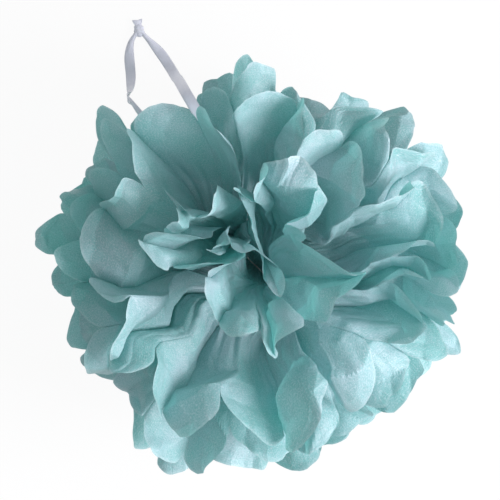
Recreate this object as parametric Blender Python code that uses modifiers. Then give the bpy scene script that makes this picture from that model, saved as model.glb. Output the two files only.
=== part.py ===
# Tissue paper pom pom, 250 mm across, lying on a table with its pole axis upright.
#
# Eight sheets of tissue were stacked, folded together into twelve equal folds and tied in the
# middle with a wire. The ends were cut round, and then each sheet was pulled away from the next,
# four towards the upper pole and four towards the lower one. A sheet is therefore one rectangle:
# its middle is the gathered neck under the wire, and its two halves fan out on both sides of the
# tie until their outer folds meet along the seam. A satin ribbon is looped to the wire, comes out
# between the second and third sheets, and falls over the edge down to the table, where its knot
# lies.
#
# Lengths are in metres and angles in degrees. +Z is up. Seen from above, an angle is measured
# from +X towards +Y, and a tilt is measured at the tie, down from the upper pole.

import math
import random

import bpy
import numpy as np
from mathutils import Matrix

ballDiameter = 0.250        # length of a sheet, from cut end to cut end
foldWidth = 0.035           # width of one fold
foldCount = 12              # folds across a sheet
paperThickness = 0.00035    # a sheet with its crumples, pressed lightly
tieHeight = 0.1130          # the tie above the table, with the lowest petals bent under
tieOffset = (-0.0003, 0.0002)  # the tie from the middle of the footprint
seamAngle = 137.0           # side on which the outer folds of the two halves meet

neckWidth = 0.010           # a sheet's folds gathered side by side under the wire
neckPitch = 0.0011          # one neck above the next
ribbonGap = 0.0016          # more room between the second and third necks, for the ribbon
neckSpread = 50.0           # wedge that stays open at each end of a neck, for the wire
hubTilts = (55.0, 125.0)    # tilt of the first and the last sheet where they leave the neck
fanStart = 0.008            # distance from the neck at which the petals begin to turn
openFanEnd = 0.095          # and where the upper sheets' petals have their own direction,
evenFanEnd = 0.050          # and the lower sheets'
archAngle = 7.0             # how far a petal rises towards its pole at half its length

wireDiameter = 0.0006
wireClearance = 0.0007      # between the wire and the necks
wirePoints = 28
wireCorner = 0.4            # 1 bends the wire to an ellipse, 0 to a square-cornered oblong

ribbonWidth = 0.00635       # a quarter of an inch
ribbonThickness = 0.0004
ribbonStep = 0.009          # one cross-section of the ribbon to the next
knotSize = (0.0086, 0.0066, 0.0044)
tailLength = 0.0065
tailSpread = 24.0           # each cut tail leaves the knot this far to one side

columnsPerFold = 3
rowShares = (0.17, 0.44, 0.74, 1.0)  # rows of a petal, as shares of its length

# Each sheet's creases at the rim, as (angle, tilt): the half on the +X side of the seam from
# seamAngle - 180 round to seamAngle, then the other half on round to seamAngle + 180.
openSheets = {
    "tissue_sheet_1": (
        ((-46, 45), (-27, 33), (3, 36), (13, 19), (25, 33), (38, 15), (52, 35),
         (82, 33), (84, 14), (88, 31), (91, 13), (95, 30), (100, 13)),
        ((119, 32), (131, 20), (136, 38), (155, 41), (153, 22), (168, 39), (178, 20),
         (189, 37), (218, 36), (236, 19), (256, 34), (275, 12), (300, 30)),
    ),
    "tissue_sheet_2": (
        ((-43, 62), (-33, 47), (-17, 61), (-11, 45), (-5, 62), (1, 46), (6, 66),
         (27, 65), (33, 47), (56, 54), (68, 43), (78, 62), (96, 56)),
        ((101, 42), (111, 56), (132, 63), (145, 47), (162, 60), (185, 58), (194, 43),
         (206, 60), (221, 46), (236, 63), (253, 49), (270, 60), (286, 43)),
    ),
    "tissue_sheet_3": (
        ((-41, 80), (-30, 65), (-17, 78), (-8, 66), (2, 80), (14, 81), (28, 79),
         (40, 66), (52, 76), (66, 60), (80, 76), (97, 74), (108, 70)),
        ((119, 72), (132, 77), (146, 63), (160, 76), (172, 70), (188, 75), (200, 62),
         (214, 76), (230, 66), (246, 78), (262, 66), (278, 76), (296, 64)),
    ),
    "tissue_sheet_4": (
        ((-41, 98), (-29, 80), (-16, 96), (-4, 84), (9, 97), (24, 93), (38, 80),
         (54, 94), (69, 78), (86, 92), (99, 98), (111, 90), (122, 98)),
        ((131, 92), (145, 79), (157, 96), (168, 83), (180, 98), (194, 84), (208, 96),
         (223, 84), (240, 96), (256, 82), (273, 94), (290, 82), (306, 96)),
    ),
}
# The lower sheets are ruffled evenly: name, tilt of the rim, ruffle either way, seed.
evenSheets = (
    ("tissue_sheet_5", 111, 7, 5),
    ("tissue_sheet_6", 127, 8, 6),
    ("tissue_sheet_7", 143, 9, 7),
    ("tissue_sheet_8", 158, 10, 8),
)
creaseJitter = 1.6          # how far a crease of an even sheet strays
seamMargin = 3.0            # how far an even sheet's outer folds stay from the seam

# Petals whose ends are curled in, as sheet, half and fold: share of the full length that is left.
curledPetals = {
    ("tissue_sheet_3", 0, 9): 0.88, ("tissue_sheet_3", 0, 11): 0.93, ("tissue_sheet_3", 1, 0): 0.88,
    ("tissue_sheet_4", 0, 8): 0.80, ("tissue_sheet_4", 0, 10): 0.88, ("tissue_sheet_4", 0, 11): 0.82,
    ("tissue_sheet_5", 0, 8): 0.86, ("tissue_sheet_5", 0, 10): 0.90, ("tissue_sheet_5", 0, 11): 0.84,
}
# Slow waves through the whole ball, which bend the petals as they lie: size in degrees, share of
# a petal's length at which they are strongest, turns and starts over the polar map.
waves = (
    (2.2, 0.55, (2.3, -1.1), (0.4, 2.1)),
    (1.8, 0.80, (-1.6, 2.7), (3.3, 0.9)),
)

# The two legs of the ribbon from the wire to the knot, as (x, y, z, turn) with x and y from the
# tie and z from the table. At turn 0 the ribbon's width lies level.
rightLeg = (
    (-0.0055, 0.0109, 0.1204, 0), (-0.0082, 0.0214, 0.1262, 0), (-0.0117, 0.0382, 0.1366, 0),
    (-0.0142, 0.0490, 0.1443, 0), (-0.0162, 0.0583, 0.1508, 0), (-0.0222, 0.0704, 0.1582, 0),
    (-0.0270, 0.0784, 0.1623, 0), (-0.0325, 0.0870, 0.1650, 0), (-0.0375, 0.0955, 0.1650, 0),
    (-0.0415, 0.1025, 0.1580, 0), (-0.0445, 0.1080, 0.1350, 0), (-0.0466, 0.1118, 0.1000, 0),
    (-0.0482, 0.1143, 0.0600, 0), (-0.0502, 0.1180, 0.0260, 0), (-0.0532, 0.1232, 0.0090, 0),
    (-0.0585, 0.1312, 0.0036, 0), (-0.0645, 0.1382, 0.0026, 0), (-0.0705, 0.1446, 0.0026, 0),
)
leftLeg = (
    (-0.0056, 0.0108, 0.1193, 0), (-0.0100, 0.0206, 0.1249, 0), (-0.0182, 0.0356, 0.1354, 0),
    (-0.0240, 0.0440, 0.1432, 0), (-0.0303, 0.0525, 0.1500, 5), (-0.0400, 0.0620, 0.1544, 15),
    (-0.0492, 0.0702, 0.1572, 30), (-0.0605, 0.0803, 0.1606, 45), (-0.0665, 0.0880, 0.1612, 58),
    (-0.0720, 0.0950, 0.1550, 68), (-0.0750, 0.0985, 0.1350, 74), (-0.0760, 0.1010, 0.1000, 70),
    (-0.0763, 0.1040, 0.0550, 55), (-0.0770, 0.1100, 0.0200, 35), (-0.0775, 0.1185, 0.0065, 15),
    (-0.0785, 0.1300, 0.0028, 4), (-0.0775, 0.1385, 0.0026, 0), (-0.0742, 0.1446, 0.0026, 0),
)
knotPlace = (-0.0724, 0.1462, 0.0026)
knotAngle = 100.0           # direction in which the knot and its tails point

paperColour = (0.38, 0.62, 0.60)
ribbonColour = (0.66, 0.68, 0.76)
wireColour = (0.55, 0.56, 0.55)


def clearScene():
    for item in list(bpy.data.objects):
        bpy.data.objects.remove(item, do_unlink=True)


def makeMaterial(name, colour, roughness, metallic=0.0):
    material = bpy.data.materials.new(name)
    material.use_nodes = True
    shader = material.node_tree.nodes["Principled BSDF"]
    shader.inputs["Base Color"].default_value = (*colour, 1.0)
    shader.inputs["Roughness"].default_value = roughness
    shader.inputs["Metallic"].default_value = metallic
    return material


def addObject(name, mesh, material, collection):
    mesh.materials.clear()
    mesh.materials.append(material)
    item = bpy.data.objects.new(name, mesh)
    collection.objects.link(item)
    return item


def gridMesh(name, rows):
    """A mesh of the quads between neighbouring points of a grid of rows."""
    rowCount, columnCount = rows.shape[:2]
    corner = np.arange(rowCount * columnCount).reshape(rowCount, columnCount)
    faces = np.stack((corner[:-1, :-1], corner[:-1, 1:], corner[1:, 1:], corner[1:, :-1]), axis=-1)
    mesh = bpy.data.meshes.new(name)
    mesh.from_pydata(rows.reshape(-1, 3).tolist(), [], faces.reshape(-1, 4).tolist())
    mesh.update()
    return mesh


def addThickness(item, thickness):
    wall = item.modifiers.new("thickness", "SOLIDIFY")
    wall.thickness = thickness
    wall.offset = 0.0
    return wall


def smoothStep(value, low, high):
    share = np.clip((value - low) / (high - low), 0.0, 1.0)
    return share * share * (3.0 - 2.0 * share)


def onPolarMap(angle, tilt):
    """A direction drawn on a flat map round the upper pole: the tilt is its distance from the
    middle and the angle its bearing, so sheets whose lines don't cross on the map don't meet."""
    angle, tilt = np.radians(angle), np.radians(tilt)
    return np.stack((tilt * np.cos(angle), tilt * np.sin(angle)), axis=-1)


def toDirection(mapPoint):
    tilt = np.hypot(mapPoint[..., 0], mapPoint[..., 1])
    angle = np.arctan2(mapPoint[..., 1], mapPoint[..., 0])
    return np.stack((np.sin(tilt) * np.cos(angle), np.sin(tilt) * np.sin(angle), np.cos(tilt)), axis=-1)


def bendPoints(mapPoint, rowShare):
    """Moves points of the polar map along slow sine waves, the same for every sheet."""
    bent = mapPoint.copy()
    for size, strongest, turns, starts in waves:
        strength = math.radians(size) * math.exp(-((rowShare - strongest) / 0.3) ** 2)
        x, y = mapPoint[:, 0], mapPoint[:, 1]
        bent[:, 0] += strength * np.sin(turns[0] * y + turns[1] * x + starts[0])
        bent[:, 1] += strength * np.sin(turns[0] * x - turns[1] * y + starts[1])
    return bent


def evenCreases(tilt, ruffle, seed):
    """Creases spread evenly over both halves, with every other one turned up."""
    chance = random.Random(seed)
    step = (180.0 - 2.0 * seamMargin) / foldCount
    halves = []
    for start in (seamAngle - 180.0, seamAngle):
        creases = []
        for fold in range(foldCount + 1):
            angle = start + seamMargin + step * fold + chance.uniform(-creaseJitter, creaseJitter)
            side = 1.0 if fold % 2 == 0 else -1.0
            creases.append((angle, tilt + side * ruffle + chance.uniform(-creaseJitter, creaseJitter)))
        halves.append(tuple(creases))
    return tuple(halves)


def listSheets():
    sheets = dict(openSheets)
    for name, tilt, ruffle, seed in evenSheets:
        sheets[name] = evenCreases(tilt, ruffle, seed)
    return sheets


def neckHeight(index, sheetCount):
    """Height of a neck above the tie's middle."""
    height = neckPitch * ((sheetCount - 1) / 2.0 - index)
    return height + (ribbonGap if index < 2 else 0.0)


def petalLength(share, left):
    """The cut end is a half circle as wide as the fold."""
    scallop = foldWidth / 2.0
    rise = np.sqrt(np.maximum(0.0, 1.0 - (2.0 * share - 1.0) ** 2))
    return (ballDiameter / 2.0 - scallop + scallop * rise) * left


def shareLeft(name, half, fold, share):
    """How much of a petal's length is left; a crease goes by the shorter of its two petals."""
    own = np.array([curledPetals.get((name, half, int(f)), 1.0) for f in fold])
    before = np.array([curledPetals.get((name, half, int(f) - 1), 1.0) for f in fold])
    return np.where(share < 0.001, np.minimum(own, before), own)


def petalRows(name, half, creases, index, sheetCount, across):
    """One half of a sheet: its neck and its rows of points outwards, at the places across."""
    fold = np.minimum((across + 1e-6).astype(int), foldCount - 1)
    share = across - fold
    rim = onPolarMap(*np.array(creases, dtype=float).T)
    rimMap = rim[fold] * (1.0 - share[:, None]) + rim[fold + 1] * share[:, None]

    along = across / foldCount
    start = seamAngle - 180.0 if half == 0 else seamAngle
    hubTilt = hubTilts[0] + (hubTilts[1] - hubTilts[0]) * index / (sheetCount - 1)
    hubAngle = start + neckSpread / 2.0 + (180.0 - neckSpread) * along
    hubMap = onPolarMap(hubAngle, np.full_like(along, hubTilt))

    side = neckWidth / 2.0 * (2.0 * along - 1.0) * (1.0 if half == 0 else -1.0)
    seam = math.radians(seamAngle)
    height = np.full_like(along, neckHeight(index, sheetCount))
    neck = np.stack((side * math.cos(seam), side * math.sin(seam), height), axis=-1)

    length = petalLength(share, shareLeft(name, half, fold, share))
    fanEnd = openFanEnd if name in openSheets else evenFanEnd
    rows = []
    for rowShare in rowShares:
        reach = rowShare * length
        turned = smoothStep(reach, fanStart, fanEnd)[:, None]
        mapPoint = hubMap * (1.0 - turned) + rimMap * turned
        tilt = np.hypot(mapPoint[:, 0], mapPoint[:, 1])
        rise = math.radians(archAngle) * 4.0 * rowShare * (1.0 - rowShare) * np.sin(2.0 * tilt)
        mapPoint = bendPoints(mapPoint * ((tilt - rise) / tilt)[:, None], rowShare)
        rows.append(neck + reach[:, None] * toDirection(mapPoint))
    return neck, rows


def makeSheet(name, creases, index, sheetCount, material, collection):
    """A whole sheet, in rows from one cut end over the neck to the other cut end. The second
    half counts its folds the other way round the tie, so it is read backwards."""
    across = np.arange(foldCount * columnsPerFold + 1) / columnsPerFold
    neck, first = petalRows(name, 0, creases[0], index, sheetCount, across)
    second = petalRows(name, 1, creases[1], index, sheetCount, foldCount - across)[1]
    rows = np.stack(first[::-1] + [neck] + second)
    rows[..., 2] = np.maximum(rows[..., 2], paperThickness / 2.0 - tieHeight)
    rows += (*tieOffset, tieHeight)
    item = addObject(name, gridMesh(name, rows), material, collection)
    addThickness(item, paperThickness)
    return item


def makeWire(sheetCount, material, collection):
    """A closed ring round the stack of necks, standing in the plane of the seam."""
    reach = wireDiameter / 2.0 + paperThickness / 2.0 + wireClearance
    halfWidth = neckWidth / 2.0 + reach / math.sin(math.radians(neckSpread / 2.0))
    top = neckHeight(0, sheetCount) + reach / math.sin(math.radians(hubTilts[0]))
    bottom = neckHeight(sheetCount - 1, sheetCount) - reach / math.sin(math.radians(hubTilts[1]))
    seam = math.radians(seamAngle)
    curve = bpy.data.curves.new("binding_wire", "CURVE")
    curve.dimensions = "3D"
    curve.bevel_depth = wireDiameter / 2.0
    curve.bevel_resolution = 1
    ring = curve.splines.new("POLY")
    ring.points.add(wirePoints - 1)
    for place, point in enumerate(ring.points):
        turn = 2.0 * math.pi * place / wirePoints
        # A rounded oblong: a low power of the sine and cosine fills the corners.
        out = halfWidth * math.copysign(abs(math.cos(turn)) ** wireCorner, math.cos(turn))
        up = math.copysign(abs(math.sin(turn)) ** wireCorner, math.sin(turn))
        height = (top + bottom) / 2.0 + (top - bottom) / 2.0 * up
        point.co = (tieOffset[0] + out * math.cos(seam), tieOffset[1] + out * math.sin(seam),
                    tieHeight + height, 1.0)
    ring.use_cyclic_u = True
    item = bpy.data.objects.new("binding_wire", curve)
    curve.materials.append(material)
    collection.objects.link(item)
    return item


def smoothRoute(route, step):
    """Points and turns at even steps along a smooth curve through the route's own points."""
    route = np.array(route, dtype=float)
    ends = np.vstack((2.0 * route[0] - route[1], route, 2.0 * route[-1] - route[-2]))
    share = np.linspace(0.0, 1.0, 12, endpoint=False)[:, None]
    pieces = []
    for a, b, c, d in zip(ends[:-3], ends[1:-2], ends[2:-1], ends[3:]):
        pieces.append(0.5 * (2.0 * b + (c - a) * share + (2.0 * a - 5.0 * b + 4.0 * c - d) * share ** 2
                             + (3.0 * b - 3.0 * c + d - a) * share ** 3))
    fine = np.vstack(pieces + [route[-1:]])
    run = np.concatenate(([0.0], np.cumsum(np.linalg.norm(np.diff(fine[:, :3], axis=0), axis=1))))
    places = np.linspace(0.0, run[-1], int(round(run[-1] / step)) + 1)
    return np.stack([np.interp(places, run, fine[:, column]) for column in range(4)], axis=-1)


def ribbonRows(route, step):
    """Two edges of a flat ribbon along a route: level across the route, turned about it."""
    points = smoothRoute(route, step)
    line = points[:, :3]
    ahead = np.gradient(line, axis=0)
    ahead /= np.linalg.norm(ahead, axis=1)[:, None]
    level = np.cross(ahead, (0.0, 0.0, 1.0))
    level /= np.linalg.norm(level, axis=1)[:, None]
    face = np.cross(level, ahead)
    turn = np.radians(points[:, 3])[:, None]
    across = level * np.cos(turn) + face * np.sin(turn)
    return np.stack((line - across * ribbonWidth / 2.0, line + across * ribbonWidth / 2.0), axis=1)


def makeStrip(name, rows, material, collection):
    item = addObject(name, gridMesh(name, rows + np.array((*tieOffset, 0.0))), material, collection)
    addThickness(item, ribbonThickness)
    return item


def joinSolids(base, others):
    for other in others:
        cut = base.modifiers.new("join", "BOOLEAN")
        cut.operation = "UNION"
        cut.object = other
    bpy.context.view_layer.update()
    graph = bpy.context.evaluated_depsgraph_get()
    mesh = bpy.data.meshes.new_from_object(base.evaluated_get(graph))
    base.modifiers.clear()
    base.data = mesh
    for other in others:
        bpy.data.objects.remove(other, do_unlink=True)


def placeMatrix(size, angle, place):
    offset = (place[0] + tieOffset[0], place[1] + tieOffset[1], place[2])
    return Matrix.Translation(offset) @ Matrix.Rotation(angle, 4, "Z") @ Matrix.Diagonal((*size, 1.0))


def makeRibbon(material, collection):
    """Both legs and the two cut tails, joined at the knot."""
    bpy.ops.mesh.primitive_uv_sphere_add(segments=12, ring_count=8, radius=0.5)
    knot = bpy.context.object
    pointing = math.radians(knotAngle)
    knot.data.transform(placeMatrix(knotSize, pointing, knotPlace))
    mesh = knot.data
    bpy.data.objects.remove(knot, do_unlink=True)
    ribbon = addObject("hanging_ribbon", mesh, material, collection)
    strips = [makeStrip("right_leg", ribbonRows(rightLeg, ribbonStep), material, collection),
              makeStrip("left_leg", ribbonRows(leftLeg, ribbonStep), material, collection)]
    start = np.array(knotPlace)
    for name, side in (("first_tail", -1.0), ("second_tail", 1.0)):
        angle = pointing + side * math.radians(tailSpread)
        way = np.array((math.cos(angle), math.sin(angle), 0.0))
        lift = np.array((0.0, 0.0, side * ribbonThickness))
        tail = [tuple(start + lift + way * reach) + (0,) for reach in np.linspace(0.0, tailLength, 3)]
        strips.append(makeStrip(name, ribbonRows(tail, tailLength / 2.0), material, collection))
    joinSolids(ribbon, strips)
    return ribbon


clearScene()
pomPom = bpy.data.collections.new("tissue_paper_pom_pom")
bpy.context.scene.collection.children.link(pomPom)
paper = makeMaterial("tissue_paper", paperColour, 0.8)
satin = makeMaterial("satin_ribbon", ribbonColour, 0.45)
steel = makeMaterial("binding_wire", wireColour, 0.4, metallic=1.0)

allSheets = listSheets()
for position, (sheetName, sheetCreases) in enumerate(allSheets.items()):
    makeSheet(sheetName, sheetCreases, position, len(allSheets), paper, pomPom)
makeWire(len(allSheets), steel, pomPom)
makeRibbon(satin, pomPom)
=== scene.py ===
# Tissue paper pom pom, the looks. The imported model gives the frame: the tie is over the origin,
# +Z is the pole axis, and the photograph was taken from straight above, with +Y at its top.

import math
import random

import bpy
import numpy as np
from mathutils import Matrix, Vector


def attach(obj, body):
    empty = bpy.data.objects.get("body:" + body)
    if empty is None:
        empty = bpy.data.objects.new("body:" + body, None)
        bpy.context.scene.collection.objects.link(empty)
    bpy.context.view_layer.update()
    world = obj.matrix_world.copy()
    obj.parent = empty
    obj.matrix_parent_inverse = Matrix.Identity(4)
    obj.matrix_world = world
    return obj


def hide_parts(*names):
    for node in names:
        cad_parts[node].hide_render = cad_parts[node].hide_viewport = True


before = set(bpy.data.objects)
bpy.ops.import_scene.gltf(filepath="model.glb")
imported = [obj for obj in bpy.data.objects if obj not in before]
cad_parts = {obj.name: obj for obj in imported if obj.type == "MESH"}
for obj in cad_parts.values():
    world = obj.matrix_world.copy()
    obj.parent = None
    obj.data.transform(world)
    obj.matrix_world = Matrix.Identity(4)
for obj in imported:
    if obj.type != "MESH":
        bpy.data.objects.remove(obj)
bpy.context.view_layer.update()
print("frame loaded")

tie = (-0.0003, 0.0002, 0.1130)  # middle of the neck

camera = {
    "middle": (-0.0036, 0.0095),
    "distance": 2.4,            # from the camera down to the tie
    "lens": 290.0,              # on a 36 mm sensor, so the picture is about 298 mm wide at the tie
    "clipEnd": 20.0,
    "tiePixel": (256.0, 266.0),  # where the tie is in the picture, of 500 by 500 pixels
    "pixel": 0.000595,          # how wide a pixel is at the tie
}

cameraData = bpy.data.cameras.new("camera")
cameraData.lens = camera["lens"]
cameraData.clip_end = camera["clipEnd"]
cameraObject = bpy.data.objects.new("camera", cameraData)
cameraObject.location = (*camera["middle"], tie[2] + camera["distance"])
bpy.context.collection.objects.link(cameraObject)
bpy.context.scene.camera = cameraObject


# Shader maths

class Value:
    # One output of a node, so that maths on it reads as a plain expression.
    def __init__(self, graph, socket):
        self.graph, self.socket = graph, socket

    def maths(self, operation, first, second):
        return self.graph.node("ShaderNodeMath", {"operation": operation}, {0: first, 1: second})

    def __add__(self, other):
        return self.maths("ADD", self, other)

    def __sub__(self, other):
        return self.maths("SUBTRACT", self, other)

    def __rsub__(self, other):
        return self.maths("SUBTRACT", other, self)

    def __mul__(self, other):
        return self.maths("MULTIPLY", self, other)

    __radd__, __rmul__ = __add__, __mul__


class Graph:
    # The nodes of one material. Settings are set before the sockets, since some sockets depend on them.
    def __init__(self, name):
        self.material = bpy.data.materials.new(name)
        self.material.use_nodes = True
        self.tree = self.material.node_tree
        self.tree.nodes.clear()

    def node(self, kind, settings=None, sockets=None, out=0):
        made = self.tree.nodes.new(kind)
        for name, value in (settings or {}).items():
            setattr(made, name, value)
        for name, value in (sockets or {}).items():
            if isinstance(value, Value):
                self.tree.links.new(value.socket, made.inputs[name])
            else:
                made.inputs[name].default_value = value
        return Value(self, made.outputs[out])

    def between(self, share, first, second):
        # A colour from first at share 0 to second at share 1. 6, 7 and 2 are the colour sockets.
        first, second = (shade if isinstance(shade, Value) else (*shade, 1.0) for shade in (first, second))
        return self.node("ShaderNodeMix", {"data_type": "RGBA"}, {0: share, 6: first, 7: second}, out=2)

    def noise(self, place, scale, detail, roughness=0.55, distortion=0.0):
        return self.node("ShaderNodeTexNoise", None,
                         {"Vector": place, "Scale": scale, "Detail": detail, "Roughness": roughness,
                          "Distortion": distortion})

    def size(self, value):
        # The value without its sign.
        return self.node("ShaderNodeMath", {"operation": "ABSOLUTE"}, {0: value})

    def mapped(self, place, scale, turn=0.0):
        return self.node("ShaderNodeMapping", None,
                         {"Vector": place, "Scale": scale, "Rotation": (0.0, 0.0, turn)})

    def clamped(self, value, low, high, newLow=0.0, newHigh=1.0):
        return self.node("ShaderNodeMapRange", {"clamp": True},
                         {0: value, 1: low, 2: high, 3: newLow, 4: newHigh})

    def finish(self, surface):
        made = self.tree.nodes.new("ShaderNodeOutputMaterial")
        self.tree.links.new(surface.socket, made.inputs["Surface"])
        return self.material


tissue = {
    "colour": (0.46, 0.63, 0.69),
    "shade": (0.26, 0.56, 0.56),
    "fleck": (0.78, 0.84, 0.91),
    "pit": (0.22, 0.45, 0.45),
    "through": (0.19, 0.60, 0.55),
    "throughShare": 0.36,       # of the light that shows through the paper
    "edge": (0.80, 0.90, 0.93),
    "edgeShare": 0.35,
    "cloudScale": 55.0,         # this scale and the next ones are noise's, to a metre of paper
    "patchScale": 14.0,
    "fleckScale": 1300.0,
    "fleckShare": 0.75,
    "pitShare": 0.65,
    "fibreScale": (1500.0, 260.0, 1.0),
    "fibreTurn": 0.35,
    "crossingScale": (1400.0, 240.0, 1.0),
    "crossingTurn": -0.9,
    "fibreShare": 0.22,
    "creases": ((16.0, 6.5), (37.0, 3.2), (90.0, 1.0)),  # scale, height
    "crinkle": 0.0011,
    "roughness": 0.46,
    "specular": 0.75,
    "sheen": 0.06,
}


def tissueMaterial():
    graph = Graph("tissue_paper")
    flat = graph.node("ShaderNodeUVMap", {"uv_map": "flat"})
    cloudy = graph.noise(flat, tissue["cloudScale"], 4.0, 0.6)
    patches = graph.noise(flat, tissue["patchScale"], 2.0, 0.5)
    # Fibres are noise drawn out along the sheet and across it, kept where they are highest, and
    # the felted paper between them is flecked at about half a millimetre.
    along = graph.mapped(flat, tissue["fibreScale"], tissue["fibreTurn"])
    crossing = graph.mapped(flat, tissue["crossingScale"], tissue["crossingTurn"])
    fibres = (graph.clamped(graph.noise(along, 1.0, 2.0, 0.5, 1.2), 0.56, 0.72)
              + graph.clamped(graph.noise(crossing, 1.0, 2.0, 0.5, 1.2), 0.58, 0.74))
    fine = graph.noise(flat, tissue["fleckScale"], 2.0, 0.6)
    colour = graph.between(graph.clamped(cloudy * 0.55 + patches * 0.45, 0.38, 0.62),
                           tissue["shade"], tissue["colour"])
    flecks = graph.clamped(fine, 0.52, 0.68, 0.0, tissue["fleckShare"])
    pits = graph.clamped(fine, 0.47, 0.33, 0.0, tissue["pitShare"])
    colour = graph.between(flecks, colour, tissue["fleck"])
    colour = graph.between(pits, colour, tissue["pit"])
    colour = graph.between(fibres * tissue["fibreShare"], colour, tissue["fleck"])
    rim = graph.node("ShaderNodeAttribute", {"attribute_name": "rim"}, None, out="Fac")
    colour = graph.between(graph.clamped(rim, 0.0, 1.0) * tissue["edgeShare"], colour, tissue["edge"])
    # Creases are where a slow noise passes its middle: its distance from there folds sharply.
    creases = sum(graph.size(graph.noise(flat, scale, 0.0) - 0.5) * height
                  for scale, height in tissue["creases"])
    bump = graph.node("ShaderNodeBump", None,
                      {"Strength": 1.0, "Distance": tissue["crinkle"],
                       "Height": creases + fine * 0.14 + fibres * 0.06})
    face = graph.node("ShaderNodeBsdfPrincipled", None,
                      {"Base Color": colour, "Roughness": tissue["roughness"],
                       "Specular IOR Level": tissue["specular"], "Sheen Weight": tissue["sheen"],
                       "Normal": bump})
    back = graph.node("ShaderNodeBsdfTranslucent", None,
                      {"Color": (*tissue["through"], 1.0), "Normal": bump})
    both = graph.node("ShaderNodeMixShader", None, {0: tissue["throughShare"], 1: face, 2: back})
    return graph.finish(both)


satin = {
    "colour": (0.88, 0.88, 0.94),
    "dull": (0.72, 0.74, 0.85),
    "edge": (0.80, 0.82, 0.88),
    "edgeShare": 0.35,
    "thread": 0.00022,
    "ribHeight": 0.00005,
    "streakScale": (3000.0, 40.0, 1.0),
    "selvedge": (0.0025, 0.0029),  # where it starts and is full, from the ribbon's middle line
}


def satinMaterial():
    graph = Graph("satin_ribbon")
    flat = graph.node("ShaderNodeUVMap", {"uv_map": "flat"})
    place = graph.node("ShaderNodeSeparateXYZ", None, {0: flat})
    # Warp threads run along the ribbon: fine ribs across its width, a selvedge at both edges.
    ribs = graph.node("ShaderNodeMath", {"operation": "SINE"}, {0: place * (2.0 * math.pi / satin["thread"])})
    selvedge = graph.clamped(graph.size(place), *satin["selvedge"])
    streaks = graph.noise(graph.mapped(flat, satin["streakScale"]), 1.0, 2.0)
    colour = graph.between(streaks, satin["dull"], satin["colour"])
    colour = graph.between(selvedge * satin["edgeShare"], colour, satin["edge"])
    bump = graph.node("ShaderNodeBump", None,
                      {"Strength": 0.6, "Distance": satin["ribHeight"],
                       "Height": ribs * 0.5 + selvedge * 2.0})
    return graph.finish(graph.node("ShaderNodeBsdfPrincipled", None,
                                   {"Base Color": colour, "Roughness": streaks * 0.15 + 0.30,
                                    "Sheen Weight": 0.2, "Normal": bump}))


wire = {
    "colour": (0.66, 0.67, 0.66),
    "dull": (0.42, 0.43, 0.42),
    "markScale": 900.0,
}


def wireMaterial():
    # Drawn steel, duller and smoother in small marks.
    graph = Graph("binding_wire")
    place = graph.node("ShaderNodeTexCoord", None, None, out="Object")
    marks = graph.noise(place, wire["markScale"], 4.0)
    colour = graph.between(marks, wire["dull"], wire["colour"])
    return graph.finish(graph.node("ShaderNodeBsdfPrincipled", None,
                                   {"Base Color": colour, "Metallic": 1.0, "Roughness": marks * 0.3 + 0.25}))


paperLook, satinLook, wireLook = tissueMaterial(), satinMaterial(), wireMaterial()
print("materials made")


# Meshes

def gridObject(name, rows, material, flat=None, rim=None, smooth=True):
    # A surface of quads between neighbouring points of a grid; flat holds its own coordinates.
    rowCount, columnCount = rows.shape[:2]
    corner = np.arange(rowCount * columnCount).reshape(rowCount, columnCount)
    faces = np.stack((corner[:-1, :-1], corner[:-1, 1:], corner[1:, 1:], corner[1:, :-1]), axis=-1)
    faces = faces.reshape(-1, 4)
    mesh = bpy.data.meshes.new(name)
    mesh.vertices.add(rowCount * columnCount)
    mesh.vertices.foreach_set("co", rows.reshape(-1).astype(np.float32))
    mesh.loops.add(faces.size)
    mesh.loops.foreach_set("vertex_index", faces.reshape(-1).astype(np.int32))
    mesh.polygons.add(len(faces))
    mesh.polygons.foreach_set("loop_start", np.arange(0, faces.size, 4, dtype=np.int32))
    mesh.polygons.foreach_set("loop_total", np.full(len(faces), 4, dtype=np.int32))
    mesh.update(calc_edges=True)
    if flat is not None:
        layer = mesh.uv_layers.new(name="flat")
        layer.data.foreach_set("uv", flat.reshape(-1, 2)[faces.reshape(-1)].reshape(-1).astype(np.float32))
    if rim is not None:
        layer = mesh.attributes.new("rim", "FLOAT", "POINT")
        layer.data.foreach_set("value", rim.reshape(-1).astype(np.float32))
    mesh.polygons.foreach_set("use_smooth", np.full(len(faces), smooth))
    mesh.materials.append(material)
    item = bpy.data.objects.new(name, mesh)
    bpy.context.collection.objects.link(item)
    return item


def smoothStep(value, low, high):
    # From 0 at low to 1 at high, level at both ends: 3 s squared less 2 s cubed.
    share = np.clip((value - low) / (high - low), 0.0, 1.0)
    return share * share * (3.0 - 2.0 * share)


def triangleWave(turns):
    # Runs evenly from -1 to 1 and back in each turn, so its crests are sharp creases.
    return 4.0 * np.abs(turns - np.floor(turns) - 0.5) - 1.0


def giveThickness(item, thickness):
    # An even wall, half of it on each side of the surface.
    wall = item.modifiers.new("thickness", "SOLIDIFY")
    wall.thickness = thickness
    wall.offset = 0.0


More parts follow.
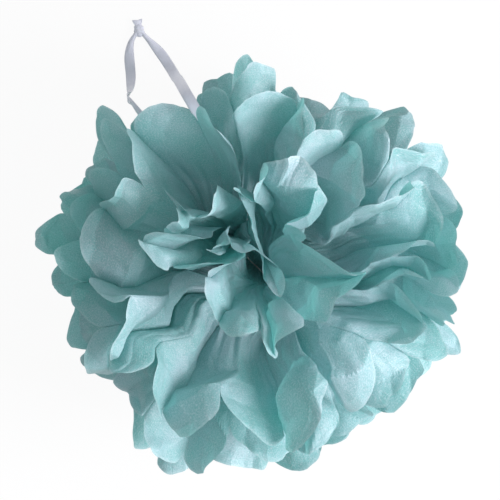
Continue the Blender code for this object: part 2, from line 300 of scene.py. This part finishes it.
# The ribbon's two legs from the wire to the knot, as x and y from the tie, z from the table, and turn.
rightLeg = (
    (-0.0055, 0.0109, 0.1204, 0), (-0.0082, 0.0214, 0.1262, 0), (-0.0117, 0.0382, 0.1366, 0),
    (-0.0142, 0.0490, 0.1443, 0), (-0.0162, 0.0583, 0.1508, 0), (-0.0222, 0.0704, 0.1582, 0),
    (-0.0270, 0.0784, 0.1623, 0), (-0.0325, 0.0870, 0.1650, 0), (-0.0375, 0.0955, 0.1650, 0),
    (-0.0415, 0.1025, 0.1580, 0), (-0.0445, 0.1080, 0.1350, 0), (-0.0466, 0.1118, 0.1000, 0),
    (-0.0482, 0.1143, 0.0600, 0), (-0.0502, 0.1180, 0.0260, 0), (-0.0532, 0.1232, 0.0090, 0),
    (-0.0585, 0.1312, 0.0036, 0), (-0.0645, 0.1382, 0.0026, 0), (-0.0705, 0.1446, 0.0026, 0),
)
leftLeg = (
    (-0.0056, 0.0108, 0.1193, 0), (-0.0100, 0.0206, 0.1249, 0), (-0.0182, 0.0356, 0.1354, 0),
    (-0.0240, 0.0440, 0.1432, 0), (-0.0303, 0.0525, 0.1500, 5), (-0.0400, 0.0620, 0.1544, 15),
    (-0.0492, 0.0702, 0.1572, 30), (-0.0605, 0.0803, 0.1606, 45), (-0.0665, 0.0880, 0.1612, 58),
    (-0.0720, 0.0950, 0.1550, 68), (-0.0750, 0.0985, 0.1350, 74), (-0.0760, 0.1010, 0.1000, 70),
    (-0.0763, 0.1040, 0.0550, 55), (-0.0770, 0.1100, 0.0200, 35), (-0.0775, 0.1185, 0.0065, 15),
    (-0.0785, 0.1300, 0.0028, 4), (-0.0775, 0.1385, 0.0026, 0), (-0.0742, 0.1446, 0.0026, 0),
)


# Tissue sheets

ball = {
    "sheets": 8,
    "diameter": 0.250,
    "foldWidth": 0.035,
    "folds": 12,                # in each half of a sheet, from the wire out to its cut end
    "seam": 137.0,              # bearing on which the outer folds of both halves meet
    "neckWidth": 0.010,
    "neckPitch": 0.0011,        # from one sheet's neck to the next one's
    "aboveRibbon": 2,           # this many sheets lie above the ribbon's loop
    "ribbonGap": 0.0016,        # what the loop lifts them by
    "neckSpread": 50.0,         # wedge left open for the wire, in degrees
    "seamGap": 3.0,             # what stays open of each side of it further out
    "wedgeCloses": (0.0006, 0.0045),  # distances from the wire between which it closes
    "ribbonWedge": (34.0, -6.0),  # how far each half stays from the seam where the ribbon comes out
    "hubTilts": (20.0, 46.0, 75.0, 85.0, 95.0, 105.0, 115.0, 125.0),  # how each sheet leaves the wire
    "fanStart": 0.012,          # where petals start to turn to their own places
    "openFanEnd": 0.072,        # where the upper sheets' have turned
    "evenFanEnd": 0.050,        # and the lower sheets'
    "arch": 4.0,                # degrees that a petal rises towards the pole at half its length
    "bulge": (-0.06, 0.16),     # least and most of what the seed gives
    "roll": (-32.0, 38.0),
    "evenRollShare": 0.4,       # the lower sheets roll less
    "rollStart": 0.55,          # share of a petal's length where its roll starts
    "rollEnd": 1.15,            # and where it would be full
    "farRoll": (45.0, 80.0),    # a roll in this range folds over more and more
    "farStart": 0.13,           # how much sooner that starts
    "farEnd": 0.35,             # and ends
    "ribbonClear": (0.010, 0.045),  # rolls and crumples set in between these distances from the ribbon
    "creaseBlend": 0.3,         # share of a petal's width over which lengths blend at a crease
    "ragged": 0.0007,           # unevenness of a cut end
    "raggedSteps": 12,          # to a fold
    "torn": 0.0022,             # depth of a torn end's bites
    "tornSteps": 26,
    "rimInset": 0.004,          # how far inside the ball's diameter the placed petals end
    "lowest": 0.0003,           # the paper's height over the table where it lies
    "paleEdge": 0.0010,         # width over which a cut edge fades
    "waves": ((2.2, 0.55, (2.3, -1.1), (0.4, 2.1)), (1.8, 0.80, (-1.6, 2.7), (3.3, 0.9))),  # see bendPoints
    "waveBand": 0.3,            # share of a petal's length over which a wave fades
    "crumples": ((0.105, 0.38), (0.082, 0.38), (0.064, 0.36), (0.050, 0.32), (0.040, 0.26), (0.032, 0.22),
                 (0.025, 0.10), (0.019, 0.07), (0.014, 0.05), (0.0098, 0.04)),  # length, slope
    "crumpleStart": (0.022, 0.070),  # they set in between these distances from the wire
    "crumpleWander": 0.22,      # how far a crest wanders, in its own wave's lengths
    "crumpleTurns": 2.3,        # over how many of them
    "outline": ((0, 0.01), (15, 0.04), (30, 0.0), (47, 0.07), (60, -0.07), (72, -0.06), (90, -0.05),
                (105, -0.05), (120, -0.02), (132, 0.05), (145, -0.06), (155, -0.10), (165, 0.0), (175, 0.04),
                (187, -0.06), (197, -0.05), (210, 0.0), (225, -0.11), (237, 0.02), (258, 0.03), (272, 0.0),
                (285, -0.08), (300, -0.13), (313, -0.05), (325, -0.08), (336, 0.0),
                (346, -0.06)),  # bearing, share added to the reach
    "outlineTilt": (85.0, 28.0),  # tilt at which that is full, and over which it fades
    "flatTop": 0.085,           # share taken off the reach at the pole
    "flatTopTilt": 35.0,        # tilt over which that fades
    "pleats": (0.0004, 0.0017, 0.0022, 0.0020, 0.0020, 0.0020, 0.0020, 0.0024),  # height of the gathers
    "pleatStart": (0.006, 0.018),  # distances from the wire between which they set in
    "pleatEnd": (0.045, 0.105),  # and fade out
    "creaseJitter": 1.6,        # degrees that the lower sheets' creases are off an even fan
    "seamMargin": 1.5,          # and that their outer ones stay from the seam
    "openColumns": 32,          # columns in each fold and rows in each half
    "openRows": 116,
    "evenColumns": 22,
    "evenRows": 72,
    "flatSteps": (0.6, 0.2),    # from one sheet's own coordinates to the next one's
}


def seenAt(*spots):
    # Bearing and tilt of a rim's points from their pixels in the picture: their distance from the
    # tie is the sine of the tilt, less what their height brings them nearer to the camera.
    x, y = (np.array(spots, dtype=float) - camera["tiePixel"]).T * camera["pixel"]
    out = np.hypot(x, y)
    full = ball["diameter"] / 2.0 - ball["rimInset"]
    out *= 1.0 - np.sqrt(np.maximum(0.0, full ** 2 - out ** 2)) / camera["distance"]
    tilt = np.degrees(np.arcsin(np.minimum(out / full, 1.0)))
    return tuple(zip(np.degrees(np.arctan2(-y, x)) % 360.0, tilt))


# Each upper sheet's creases at the rim as (bearing, tilt), the half from seam - 180 on and then the
# other. The first sheet's are given by their pixels in the picture.
openSheets = {
    "tissue_sheet_1": (
        seenAt((346, 328), (380, 258), (316, 238), (288, 222), (322, 184), (262, 166), (250, 196),
               (230, 156), (198, 200), (180, 258), (206, 236), (192, 250), (210, 259)),
        seenAt((218, 186), (192, 224), (160, 194), (146, 226), (198, 238), (144, 250), (160, 276),
               (236, 250), (186, 288), (212, 342), (258, 326), (272, 352), (300, 312)),
    ),
    "tissue_sheet_2": (
        ((-58, 65), (-38, 48), (-19, 62), (-11, 45), (-5, 62), (1, 46), (6, 66),
         (27, 65), (33, 47), (56, 54), (68, 43), (78, 62), (96, 56)),
        ((101, 42), (111, 56), (132, 63), (145, 47), (162, 60), (185, 58), (194, 43),
         (206, 60), (221, 46), (238, 63), (257, 49), (278, 61), (304, 47)),
    ),
    "tissue_sheet_3": (
        ((-54, 80), (-34, 67), (-18, 79), (-8, 66), (2, 80), (14, 81), (28, 79),
         (40, 66), (52, 76), (66, 60), (80, 76), (97, 74), (108, 70)),
        ((119, 72), (132, 77), (146, 63), (160, 76), (172, 70), (188, 75), (200, 62),
         (214, 76), (230, 66), (246, 78), (262, 66), (281, 77), (302, 71)),
    ),
    "tissue_sheet_4": (
        ((-52, 103), (-32, 82), (-17, 97), (-4, 84), (9, 97), (24, 93), (38, 80),
         (54, 94), (69, 78), (86, 92), (99, 98), (111, 90), (122, 98)),
        ((131, 92), (145, 79), (157, 96), (168, 83), (180, 98), (194, 84), (208, 96),
         (223, 84), (240, 96), (256, 82), (274, 94), (292, 83), (309, 99)),
    ),
}
# The lower sheets are ruffled evenly: tilt of the rim, ruffle either way, seed.
evenSheets = {
    "tissue_sheet_5": (111, 7, 15),
    "tissue_sheet_6": (127, 8, 6),
    "tissue_sheet_7": (141, 8, 7),
    "tissue_sheet_8": (159, 9, 8),
}
# Share of its length that a petal keeps, by sheet, half and fold.
shortPetals = {
    ("tissue_sheet_3", 0, 9): 0.88, ("tissue_sheet_3", 0, 11): 0.93, ("tissue_sheet_3", 1, 0): 0.88,
    ("tissue_sheet_4", 0, 8): 0.80, ("tissue_sheet_4", 0, 10): 0.88, ("tissue_sheet_4", 0, 11): 0.82,
    ("tissue_sheet_5", 0, 8): 0.86, ("tissue_sheet_5", 0, 10): 0.90, ("tissue_sheet_5", 0, 11): 0.84,
}
# Ends that are torn, from 0 for a clean cut to 1.
tornEnds = {("tissue_sheet_1", 0, 2): 0.8, ("tissue_sheet_1", 0, 3): 1.0, ("tissue_sheet_1", 0, 4): 0.6}
# How far a petal's middle bulges towards the pole at the rim, as a share of its width, and how far
# its end rolls, in degrees. The other petals take small values from their sheet's seed.
bulges = {
    ("tissue_sheet_1", 0, 0): 0.10, ("tissue_sheet_1", 0, 4): 0.12, ("tissue_sheet_1", 0, 7): 0.03,
    ("tissue_sheet_1", 0, 8): 0.03,
}
rolls = {
    ("tissue_sheet_1", 0, 0): 20, ("tissue_sheet_1", 0, 1): 8, ("tissue_sheet_1", 0, 2): -10,
    ("tissue_sheet_1", 0, 3): -20, ("tissue_sheet_1", 0, 4): -40, ("tissue_sheet_1", 0, 5): -20,
    ("tissue_sheet_1", 0, 6): 30, ("tissue_sheet_1", 0, 7): 86, ("tissue_sheet_1", 0, 8): 90,
    ("tissue_sheet_1", 0, 9): 60, ("tissue_sheet_1", 0, 10): 25, ("tissue_sheet_1", 0, 11): 10,
    ("tissue_sheet_1", 1, 6): 30, ("tissue_sheet_1", 1, 7): 10,
}


def onPolarMap(bearing, tilt):
    # A direction on a flat map round the upper pole: tilt is the distance from the middle.
    bearing, tilt = np.radians(bearing), np.radians(tilt)
    return np.stack((tilt * np.cos(bearing), tilt * np.sin(bearing)), axis=-1)


def toDirection(mapPoint):
    # The unit vector of a point of that map.
    tilt = np.hypot(mapPoint[..., 0], mapPoint[..., 1])
    bearing = np.arctan2(mapPoint[..., 1], mapPoint[..., 0])
    return np.stack((np.sin(tilt) * np.cos(bearing), np.sin(tilt) * np.sin(bearing), np.cos(tilt)), axis=-1)


def bendPoints(mapPoint, rowShare):
    # Moves points of the polar map along slow sine waves, the same for every sheet. Each wave has a
    # size in degrees, the share of a petal's length where it is strongest, its turns and its starts.
    bent = mapPoint.copy()
    x, y = mapPoint[..., 0], mapPoint[..., 1]
    for size, strongest, turns, starts in ball["waves"]:
        strength = math.radians(size) * np.exp(-((rowShare - strongest) / ball["waveBand"]) ** 2)
        bent[..., 0] += strength * np.sin(turns[0] * y + turns[1] * x + starts[0])
        bent[..., 1] += strength * np.sin(turns[0] * x - turns[1] * y + starts[1])
    return bent


def evenCreases(tilt, ruffle, seed):
    # Creases at even bearings whose tilts go up and down by the ruffle, with a little chance in both.
    chance = random.Random(seed)
    step = (180.0 - 2.0 * ball["seamMargin"]) / ball["folds"]
    jitter = ball["creaseJitter"]
    halves = []
    for start in (ball["seam"] - 180.0, ball["seam"]):
        creases = []
        for fold in range(ball["folds"] + 1):
            bearing = start + ball["seamMargin"] + step * fold + chance.uniform(-jitter, jitter)
            side = 1.0 if fold % 2 == 0 else -1.0
            creases.append((bearing, tilt + side * ruffle + chance.uniform(-jitter, jitter)))
        halves.append(tuple(creases))
    return tuple(halves)


def perFold(table, name, half, usual):
    # A half's values fold by fold: its own where the table has one, else the usual one.
    values = [table.get((name, half, fold), usual[fold]) for fold in range(ball["folds"])]
    return np.array(values, dtype=float)


def awayFromRibbon(points):
    # From 0 beside the ribbon's route to 1 further off, so that no petal is pushed through it.
    off = np.full(points.shape[:-1], 1.0)
    for x, y, z, turn in rightLeg + leftLeg:
        off = np.minimum(off, np.linalg.norm(points - np.array((x, y, z - tie[2])), axis=-1))
    return smoothStep(off, *ball["ribbonClear"])


def halfSheet(name, half, creases, index, across, rowShare):
    # A half's points: neck + reach x direction, where the direction goes from an even fan at the
    # hub to the petal's own place at the rim, rowShare outwards and across over the folds.
    folds = ball["folds"]
    carriesRibbon = index < ball["aboveRibbon"]
    chance = np.random.default_rng(100 + 10 * index + half)
    fold = np.minimum((across + 1e-9).astype(int), folds - 1)
    share = across - fold
    rim = onPolarMap(*np.array(creases, dtype=float).T)
    if index == 0:
        rim = beforeCrumple(rim)
    bulge = perFold(bulges, name, half, chance.uniform(*ball["bulge"], folds))
    roll = perFold(rolls, name, half, chance.uniform(*ball["roll"], folds))
    roll = roll if name in openSheets else roll * ball["evenRollShare"]
    chord = rim[fold + 1] - rim[fold]
    inward = np.stack((-chord[:, 1], chord[:, 0]), axis=-1)
    middle = (rim[fold + 1] + rim[fold]) / 2.0
    inward *= -np.sign(np.sum(inward * middle, axis=-1))[:, None]
    rimMap = rim[fold] * (1.0 - share[:, None]) + rim[fold + 1] * share[:, None]
    rimMap = rimMap + inward * (bulge[fold] * 4.0 * share * (1.0 - share))[:, None]

    along = across / folds
    start = ball["seam"] - 180.0 + 180.0 * half
    side = ball["neckWidth"] / 2.0 * (2.0 * along - 1.0) * (1.0 - 2.0 * half)
    seam = math.radians(ball["seam"])
    height = ball["neckPitch"] * ((ball["sheets"] - 1) / 2.0 - index) + ball["ribbonGap"] * carriesRibbon
    neck = np.stack((side * math.cos(seam), side * math.sin(seam), np.full_like(along, height)), axis=-1)

    # The cut end is a half circle as wide as the fold, with a slightly uneven edge.
    left = perFold(shortPetals, name, half, np.ones(folds))
    before, after = np.roll(left, 1), np.roll(left, -1)
    near = 1.0 - smoothStep(share, 0.0, ball["creaseBlend"])
    far = 1.0 - smoothStep(1.0 - share, 0.0, ball["creaseBlend"])
    keep = (left[fold] * (1.0 - near - far) + np.minimum(left, before)[fold] * near
            + np.minimum(left, after)[fold] * far)
    scallop = ball["foldWidth"] / 2.0
    length = ball["diameter"] / 2.0 - scallop
    length = length + scallop * np.sqrt(np.maximum(0.0, 1.0 - (2.0 * share - 1.0) ** 2))
    steps = ball["raggedSteps"] * folds + 1
    ragged = np.interp(across, np.linspace(0, folds, steps), chance.uniform(-0.5, 0.5, steps))
    steps = ball["tornSteps"] * folds + 1
    bitten = np.interp(across, np.linspace(0, folds, steps), chance.uniform(-1.0, 0.2, steps))
    torn = perFold(tornEnds, name, half, np.zeros(folds))[fold]
    length = length * keep + ball["ragged"] * ragged + ball["torn"] * bitten * torn

    reach = rowShare[:, None] * length[None, :]
    fanEnd = ball["openFanEnd"] if name in openSheets else ball["evenFanEnd"]
    turned = smoothStep(reach, ball["fanStart"], fanEnd)[..., None]
    # Under the wire a wedge stays open at both ends of the neck. Past it the halves close up, but
    # the sheets above the ribbon keep a wedge open where it comes out.
    wedge = ball["neckSpread"] / 2.0
    closed = smoothStep(reach, *ball["wedgeCloses"])
    beside = ((0.0, 0.0), (0.0, ball["ribbonWedge"][0]), (ball["ribbonWedge"][1], 0.0))
    first, last = (wedge + (gap - wedge - ball["seamGap"]) * closed
                   for gap in beside[(1 + half) * carriesRibbon])
    hubMap = onPolarMap(start + first + (180.0 - first - last) * along,
                        np.full_like(reach, ball["hubTilts"][index]))
    mapPoint = hubMap * (1.0 - turned) + rimMap[None] * turned
    tilt = np.hypot(mapPoint[..., 0], mapPoint[..., 1])
    rowShare = rowShare[:, None]
    rise = math.radians(ball["arch"]) * 4.0 * rowShare * (1.0 - rowShare) * np.sin(2.0 * tilt)
    mapPoint = bendPoints(mapPoint * ((tilt - rise) / tilt)[..., None], rowShare)
    points = neck[None] + reach[..., None] * toDirection(mapPoint)

    # The end of each petal rolls towards the pole or away: past the roll's start every step is
    # turned about the level line across the petal, more and more towards the rim. A petal that is
    # turned far folds over sooner.
    roll = np.interp(across, np.arange(folds) + 0.5, roll) * awayFromRibbon(points[-1])
    step = np.diff(points, axis=0)
    bearing = np.arctan2(points[-1, :, 1], points[-1, :, 0])
    axis = np.stack((np.sin(bearing), -np.cos(bearing), np.zeros_like(bearing)), axis=-1)[None]
    folded = smoothStep(np.abs(roll), *ball["farRoll"])
    rolled = smoothStep(rowShare[1:], ball["rollStart"] - ball["farStart"] * folded,
                        ball["rollEnd"] - ball["farEnd"] * folded)
    turn = (np.radians(roll) * rolled)[..., None]
    step = (step * np.cos(turn) + np.cross(axis, step) * np.sin(turn)
            + axis * np.sum(axis * step, axis=-1, keepdims=True) * (1.0 - np.cos(turn)))
    points = np.concatenate((points[:1], points[:1] + np.cumsum(step, axis=0)))
    return points, reach, length


def shapeOutline(points):
    # The ball isn't quite round: round its widest part the reach changes with the bearing, and it is
    # a little flat at the pole. Both shares fade with the tilt as bell curves.
    bearing = np.degrees(np.arctan2(points[..., 1], points[..., 0])) % 360.0
    tilt = np.degrees(np.arctan2(np.hypot(points[..., 0], points[..., 1]), points[..., 2]))
    bearings, shares = np.array(ball["outline"]).T
    share = np.interp(bearing, bearings, shares, period=360.0)
    widest, band = ball["outlineTilt"]
    share = share * np.exp(-((tilt - widest) / band) ** 2)
    share = share - ball["flatTop"] * np.exp(-(tilt / ball["flatTopTilt"]) ** 2)
    return points * (1.0 + share)[..., None]


def crumpleSpace(points):
    # Moves space itself along triangle waves, so that neighbouring layers crease together and
    # never cross. Each wave shears space square to its own heading, and its crests wander.
    chance = np.random.default_rng(41)
    strength = smoothStep(np.linalg.norm(points, axis=-1), *ball["crumpleStart"]) * awayFromRibbon(points)
    for length, slope in ball["crumples"]:
        heading, movement = chance.normal(size=(2, 3))
        heading /= np.linalg.norm(heading)
        movement -= heading * (movement @ heading)
        movement /= np.linalg.norm(movement)
        swing = np.cross(heading, movement)
        start = chance.uniform(0.0, 1.0, 2)
        wander = np.sin(2.0 * math.pi * (points @ swing / (ball["crumpleTurns"] * length) + start[1]))
        wave = triangleWave(points @ heading / length + start[0] + ball["crumpleWander"] * wander)
        points = points + (strength * slope * length / 4.0 * wave)[..., None] * movement
    return points


def beforeCrumple(mapPoint):
    # Where a rim's point starts for the crumples to carry it to its place in the picture: each turn
    # takes off most of what is left between where it lands and where it should.
    target = (ball["diameter"] / 2.0 - ball["rimInset"]) * toDirection(mapPoint)
    start = target
    for turn in range(10):
        start = start + 0.7 * (target - shapeOutline(crumpleSpace(start)))
    x, y, z = np.moveaxis(start, -1, 0)
    return onPolarMap(np.degrees(np.arctan2(y, x)), np.degrees(np.arctan2(np.hypot(x, y), z)))


def surfaceNormals(points):
    # Square to the two directions of the grid.
    normal = np.cross(np.gradient(points, axis=1), np.gradient(points, axis=0))
    return normal / np.maximum(np.linalg.norm(normal, axis=-1), 1e-12)[..., None]


def gatherSheet(points, across, reach, index):
    # Radial pleats, square to the sheet: triangle waves across it, three to a fold and, half as
    # high, five to a fold, that set in past the wire and fade out towards the rim.
    fade = smoothStep(reach, *ball["pleatStart"]) * (1.0 - smoothStep(reach, *ball["pleatEnd"]))
    uneven = 0.7 + 0.3 * np.sin(2.3 * across + 1.0) * np.sin(0.9 * across)
    wave = triangleWave(across * 3.0 + 0.08 * np.sin(reach * 120.0)) + 0.5 * triangleWave(across * 5.0 + 0.3)
    height = ball["pleats"][index] * fade * uneven * wave
    return points + surfaceNormals(points) * height[..., None]


def makeSheet(name, creases, index):
    # Both halves end to end, from one rim over the neck to the other, bent and crumpled together.
    fine = name in openSheets
    columns = ball["openColumns" if fine else "evenColumns"]
    rowCount = ball["openRows" if fine else "evenRows"]
    folds = ball["folds"]
    # Columns crowd towards the creases, which keeps them sharp and the cut ends round.
    part = (1.0 - np.cos(math.pi * np.arange(columns) / columns)) / 2.0
    across = np.append((np.arange(folds)[:, None] + part[None]).reshape(-1), float(folds))
    rowShare = np.linspace(0.0, 1.0, rowCount + 1)
    halves = []
    for half, order in ((0, across), (1, folds - across)):
        points, reach, length = halfSheet(name, half, creases[half], index, order, rowShare)
        halves.append((gatherSheet(points, order[None], reach, index), reach, length))
    points = np.concatenate((halves[0][0][::-1], halves[1][0][1:]))
    reach = np.concatenate((-halves[0][1][::-1], halves[1][1][1:]))
    left = np.concatenate((halves[0][2][None] - halves[0][1][::-1], halves[1][2][None] - halves[1][1][1:]))
    points = shapeOutline(crumpleSpace(points)) + np.array(tie)
    points[..., 2] = np.maximum(points[..., 2], ball["lowest"])
    flat = np.stack(np.broadcast_arrays(across * ball["foldWidth"], reach), axis=-1)
    flat = flat + np.array(ball["flatSteps"]) * index
    rim = np.clip(1.6 - left / ball["paleEdge"], 0.0, 1.0)
    sheet = gridObject(name.replace("tissue_sheet", "petals"), points, paperLook, flat, rim, smooth=False)
    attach(sheet, "root")
    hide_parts(name)
    sides = np.cross(np.diff(points, axis=0)[:, :-1], np.diff(points, axis=1)[:-1])
    area = np.sum(np.linalg.norm(sides, axis=-1))
    print(name, "area", round(float(area), 4))
    uppermost = index == 0  # its modelled form is narrower


allSheets = dict(openSheets)
for name, (tilt, ruffle, seed) in evenSheets.items():
    allSheets[name] = evenCreases(tilt, ruffle, seed)
for index, (name, creases) in enumerate(allSheets.items()):
    makeSheet(name, creases, index)
print("sheets made")


# Ribbon

ribbon = {
    "width": 0.00635,
    "thickness": 0.0003,
    "length": 0.599,
    "step": 0.0012,             # from one row of the mesh to the next
    "fineSteps": 12,            # between two points of the route
    "columns": 8,
    "hollow": 0.0005,           # how far its middle stands off its edges
    "knotHollow": 0.0012,       # and more at the knot
    "flatStart": 0.03,          # it leaves the wire flat and is hollow from here on
    "knot": (-0.0724, 0.1462, 0.0026),
    "knotBearing": 100.0,
    "knotSize": (0.0086, 0.0062, 0.0042),
    "lapHeight": 0.10,          # of the laps round the knot, as a share of its radius
    "lapTurns": 1.5,
    "pinch": 0.36,              # share of its width that the ribbon keeps at the knot
    "pinchLength": 0.019,
    "tail": 0.0066,
    "tailSpread": 5.0,
    "tailWidths": (0.40, 0.80),  # shares of the width at the knot and at the cut
    "tailSlant": 0.0012,
    "tailGap": 0.0007,          # a tail's height over or under the knot's middle
    "lowest": 0.0004,
}


def smoothRoute(route, step):
    # Even steps along a smooth curve through the route's own points: between two of them it is the
    # cubic whose slope at each is half the way from the point before to the point after.
    route = np.array(route, dtype=float)
    ends = np.vstack((2.0 * route[0] - route[1], route, 2.0 * route[-1] - route[-2]))
    share = np.linspace(0.0, 1.0, ribbon["fineSteps"], endpoint=False)[None, :, None]
    a, b, c, d = (ends[k:k + len(ends) - 3, None] for k in range(4))
    fine = 0.5 * (2.0 * b + (c - a) * share + (2.0 * a - 5.0 * b + 4.0 * c - d) * share ** 2
                  + (3.0 * b - 3.0 * c + d - a) * share ** 3)
    fine = np.vstack((fine.reshape(-1, route.shape[1]), route[-1:]))
    run = np.concatenate(([0.0], np.cumsum(np.linalg.norm(np.diff(fine[:, :3], axis=0), axis=1))))
    places = np.linspace(0.0, run[-1], int(round(run[-1] / step)) + 1)
    return np.stack([np.interp(places, run, fine[:, k]) for k in range(fine.shape[1])], axis=-1), places


def makeRibbon():
    # Level across the route and turned about it, with a slightly hollow cross-section that is
    # gathered narrower into the knot.
    strips, flats = [], []
    for leg in (rightLeg, leftLeg):
        points, run = smoothRoute(leg, ribbon["step"])
        line = points[:, :3] + np.array((tie[0], tie[1], 0.0))
        ahead = np.gradient(line, axis=0)
        ahead /= np.linalg.norm(ahead, axis=1)[:, None]
        level = np.cross(ahead, (0.0, 0.0, 1.0))
        level /= np.linalg.norm(level, axis=1)[:, None]
        face = np.cross(level, ahead)
        turn = np.radians(points[:, 3])[:, None]
        across = level * np.cos(turn) + face * np.sin(turn)
        front = face * np.cos(turn) - level * np.sin(turn)
        side = np.linspace(-0.5, 0.5, ribbon["columns"] + 1)[None, :, None]
        pinch = smoothStep(run[-1] - run, 0.0, ribbon["pinchLength"])[:, None, None]
        depth = ribbon["hollow"] * smoothStep(run, 0.0, ribbon["flatStart"])[:, None, None]
        hollow = (depth + ribbon["knotHollow"] * (1.0 - pinch)) * (1.0 - 4.0 * side ** 2)
        width = ribbon["width"] * (ribbon["pinch"] + (1.0 - ribbon["pinch"]) * pinch)
        strips.append(line[:, None] + across[:, None] * side * width + front[:, None] * hollow)
        flats.append(np.stack(np.broadcast_arrays(side[..., 0] * ribbon["width"], run[:, None]), axis=-1))
    rows = np.concatenate((strips[0], strips[1][::-1, ::-1]))
    flat = np.concatenate((flats[0], flats[1][::-1, ::-1]))
    item = gridObject("ribbon", rows, satinLook, flat)
    giveThickness(item, ribbon["thickness"])
    return item


def knotPlace(along, side, up):
    # A point that far along the knot's own direction, to its side and above its middle.
    bearing = math.radians(ribbon["knotBearing"])
    middle = np.array(ribbon["knot"]) + (tie[0], tie[1], 0.0)
    return middle + np.stack((along * math.cos(bearing) - side * math.sin(bearing),
                              along * math.sin(bearing) + side * math.cos(bearing), up), axis=-1)


def makeKnot():
    # A barrel round the knot's direction: its radius is a flattened bulge with three slanting laps
    # of ribbon pressed into it, and it closes to a point at both ends.
    length, width, height = (size / 2.0 for size in ribbon["knotSize"])
    share, angle = np.meshgrid(np.linspace(-1.0, 1.0, 41), np.linspace(0.0, 2.0 * math.pi, 65), indexing="ij")
    bulge = (1.0 - np.abs(share) ** 2.6) ** 0.5
    lap = triangleWave(ribbon["lapTurns"] * share + angle / (2.0 * math.pi))
    lap = 1.0 + ribbon["lapHeight"] * lap + 0.03 * np.sin(6.0 * angle)
    reach = bulge * lap
    rows = knotPlace(length * share, width * reach * np.cos(angle), height * reach * np.sin(angle))
    flat = np.stack((0.5 * ribbon["width"] * np.sin(angle + 2.0 * share), length * share), axis=-1)
    rows[..., 2] = np.maximum(rows[..., 2], ribbon["lowest"])
    return gridObject("ribbon_knot", rows, satinLook, flat)


def makeTail(name, side):
    # A short cupped strip out of the knot that widens towards its slanting cut.
    share, across = np.meshgrid(np.linspace(0.0, 1.0, 20), np.linspace(-0.5, 0.5, 13), indexing="ij")
    angle = math.radians(ribbon["tailSpread"]) * side
    narrowest, widest = ribbon["tailWidths"]
    width = ribbon["width"] * (narrowest + (widest - narrowest) * smoothStep(share, 0.2, 1.0))
    along = share * (ribbon["tail"] + ribbon["tailSlant"] * across * side)
    sideways = across * width
    up = (ribbon["tailGap"] + ribbon["hollow"] * (1.0 - 4.0 * across ** 2) * share) * side
    rows = knotPlace(along * math.cos(angle) - sideways * math.sin(angle),
                     along * math.sin(angle) + sideways * math.cos(angle), up)
    rows[..., 2] = np.maximum(rows[..., 2], ribbon["lowest"])
    item = gridObject(name, rows, satinLook, np.stack((across * width, along), axis=-1))
    giveThickness(item, ribbon["thickness"])
    return item


ribbonPiece = makeRibbon()
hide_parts("hanging_ribbon")
knotPieces = [makeKnot(), makeTail("ribbon_tail_1", -1.0), makeTail("ribbon_tail_2", 1.0)]
for item in (ribbonPiece, *knotPieces):
    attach(item, "root")

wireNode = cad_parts["binding_wire"]
wireNode.data.materials.clear()
wireNode.data.materials.append(wireLook)
print("wire dressed")


# Floor, world and lamps

studio = {
    "floor": 0.86,
    "floorGlow": 0.94,          # share of the floor's look that is plain white to the camera
    "floorReach": 3.0,
    "world": 0.50,
    "worldColour": (0.92, 0.96, 1.0),
    "key": (1.00, -0.30, 0.95),
    "keyAim": (0.0, 0.0, 0.11),
    "keyEnergy": 26.5,
    "keyColour": (1.0, 0.95, 1.0),
    "keySize": 0.7,
}


def floorMaterial():
    # A pale diffuse floor that is mixed with plain white where the camera or a reflection sees it.
    graph = Graph("floor")
    shade = studio["floor"]
    seen = sum(graph.node("ShaderNodeLightPath", None, None, out="Is " + kind + " Ray")
               for kind in ("Camera", "Glossy", "Transmission"))
    face = graph.node("ShaderNodeBsdfPrincipled", None,
                      {"Base Color": (shade, shade, shade, 1.0), "Roughness": 0.9})
    glow = graph.node("ShaderNodeEmission", None, {"Color": (1.0, 1.0, 1.0, 1.0), "Strength": 1.0})
    both = graph.node("ShaderNodeMixShader", None, {0: seen * studio["floorGlow"], 1: face, 2: glow})
    return graph.finish(both)


def makeFloor():
    # A level square of quads at the height of the table.
    x, y = np.meshgrid(*[np.linspace(-studio["floorReach"], studio["floorReach"], 3)] * 2)
    return gridObject("floor", np.stack((x, y, np.zeros_like(x)), axis=-1), floorMaterial())


makeFloor()

world = bpy.data.worlds.new("studio")
bpy.context.scene.world = world
world.use_nodes = True
background = world.node_tree.nodes["Background"].inputs
background["Color"].default_value = (*studio["worldColour"], 1.0)
background["Strength"].default_value = studio["world"]

lamp = bpy.data.lights.new("key", "AREA")
lamp.energy, lamp.size, lamp.color = studio["keyEnergy"], studio["keySize"], studio["keyColour"]
lampObject = bpy.data.objects.new("key", lamp)
lampObject.location = studio["key"]
lampObject.rotation_mode = "QUATERNION"
lampObject.rotation_quaternion = (Vector(studio["keyAim"]) - Vector(studio["key"])).to_track_quat("-Z", "Y")
bpy.context.collection.objects.link(lampObject)
bpy.context.scene.view_settings.view_transform = "Standard"
print("stage made")
